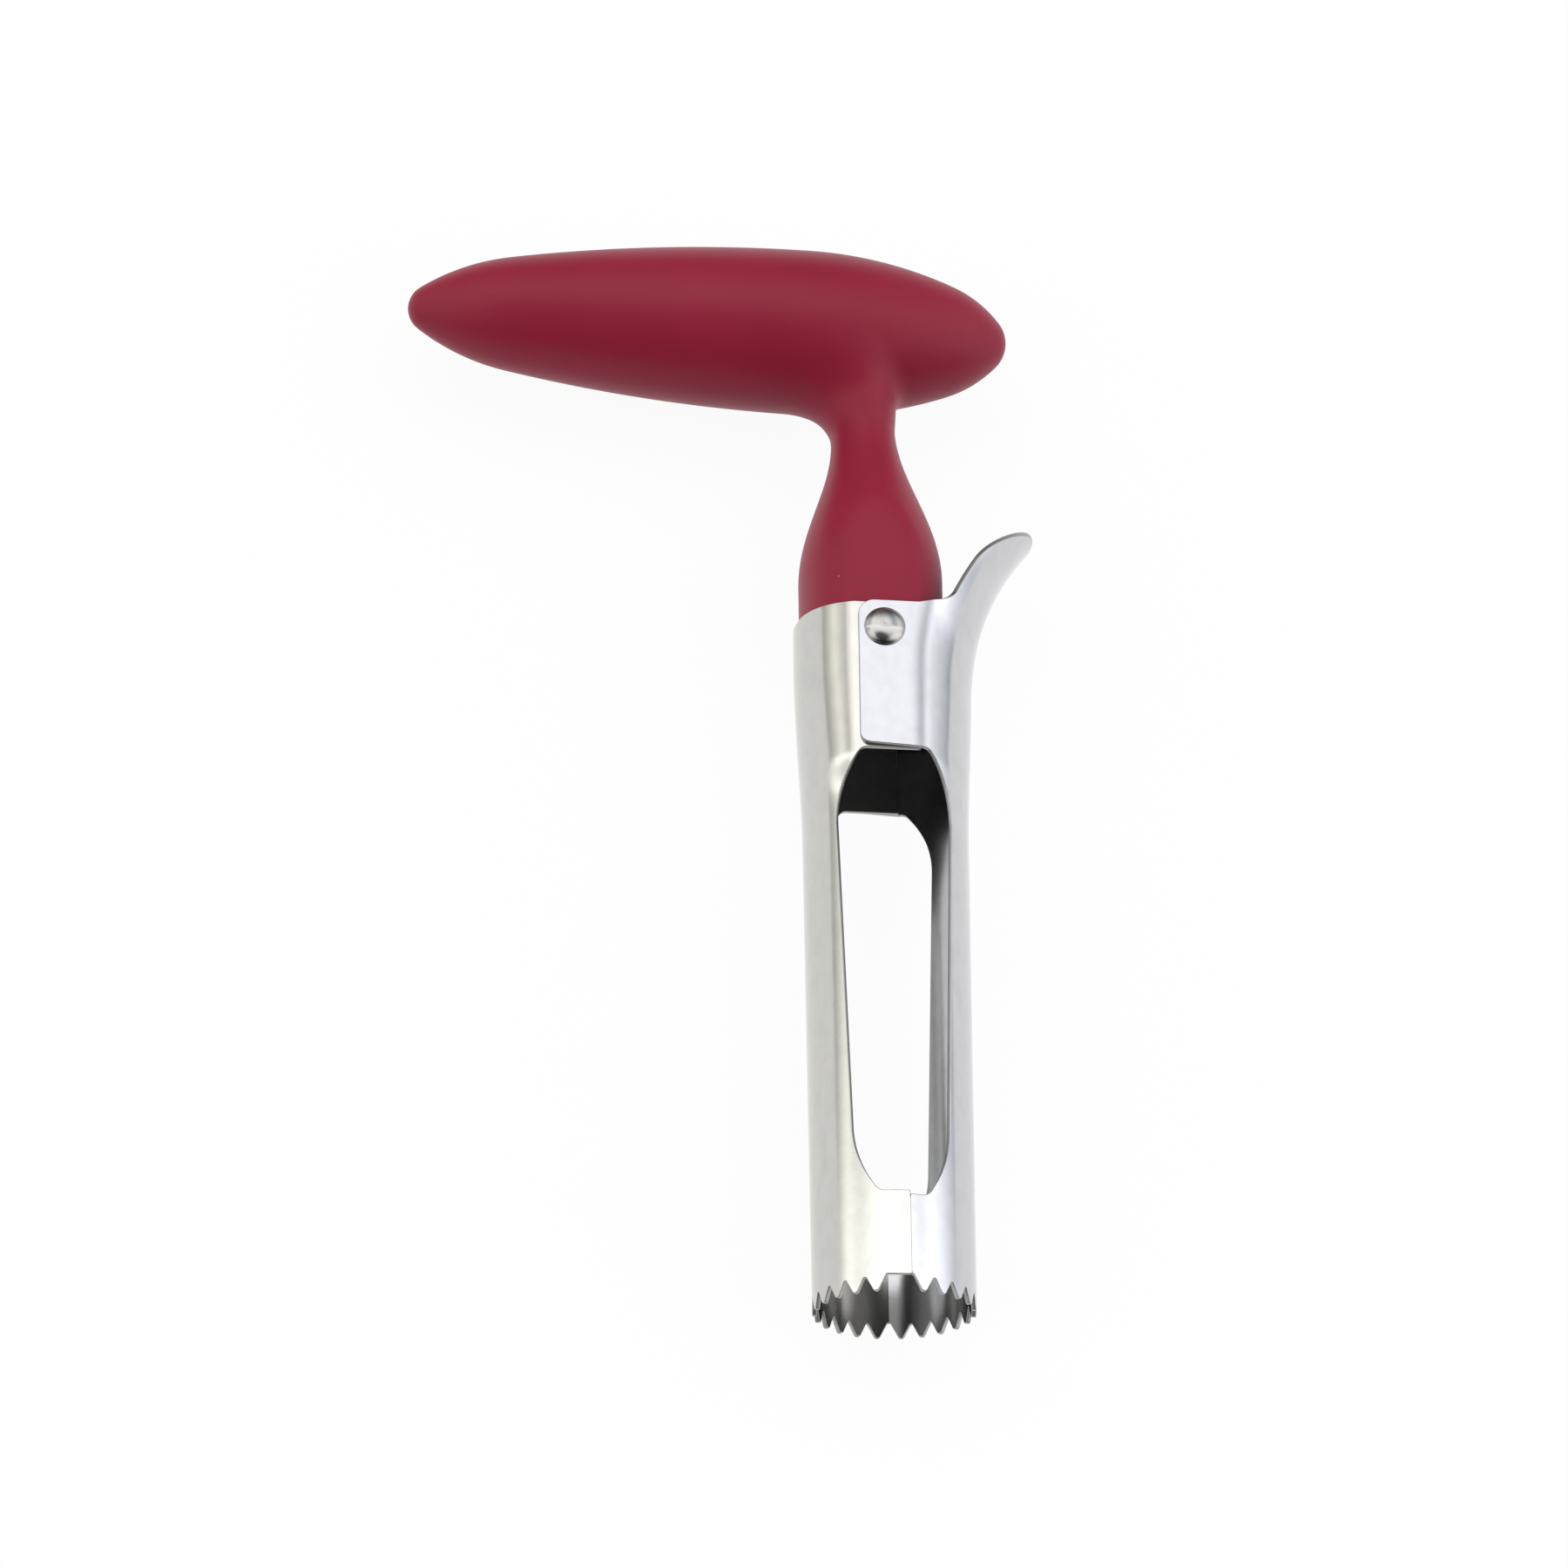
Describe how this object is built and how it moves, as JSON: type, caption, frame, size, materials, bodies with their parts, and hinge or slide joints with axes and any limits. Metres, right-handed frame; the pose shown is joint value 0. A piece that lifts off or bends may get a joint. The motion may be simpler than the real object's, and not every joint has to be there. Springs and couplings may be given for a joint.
{
  "type": "fruit pitter",
  "caption": "Hand tool that cuts the core out of a fruit: soft T-shaped grip on a toothed steel tube split lengthwise, with one half that swings open on a rivet by a thumb lever.",
  "frame": {"origin": "centre of the toothed mouth, in the plane of the tooth tips", "axes": "+Y up the tube to the handle, +X towards the thumb lever, +Z out of the front, where the rivet sleeve's head shows"},
  "size_m": [0.1078, 0.1924, 0.0316],
  "materials": {
    "core_plastic": "matte",
    "soft_grip": "soft touch, matte",
    "fixed_steel": "satin stainless",
    "lever_steel": "satin stainless",
    "rivet_steel": "polished stainless"
  },
  "bodies": {
    "handle": {"handle_core": "core_plastic", "grip_skin": "soft_grip", "fixed_half_tube": "fixed_steel", "rivet_sleeve": "rivet_steel", "rivet_pin": "rivet_steel"},
    "lever": {"lever_half_tube": "lever_steel"}
  },
  "joints": [
    {"name": "lever_pivot", "type": "hinge", "parent": "handle", "child": "lever", "pos_m": [-0.00154, 0.1143, 0], "axis": [0, 0, 1], "range_deg": [0, 20]}
  ]
}
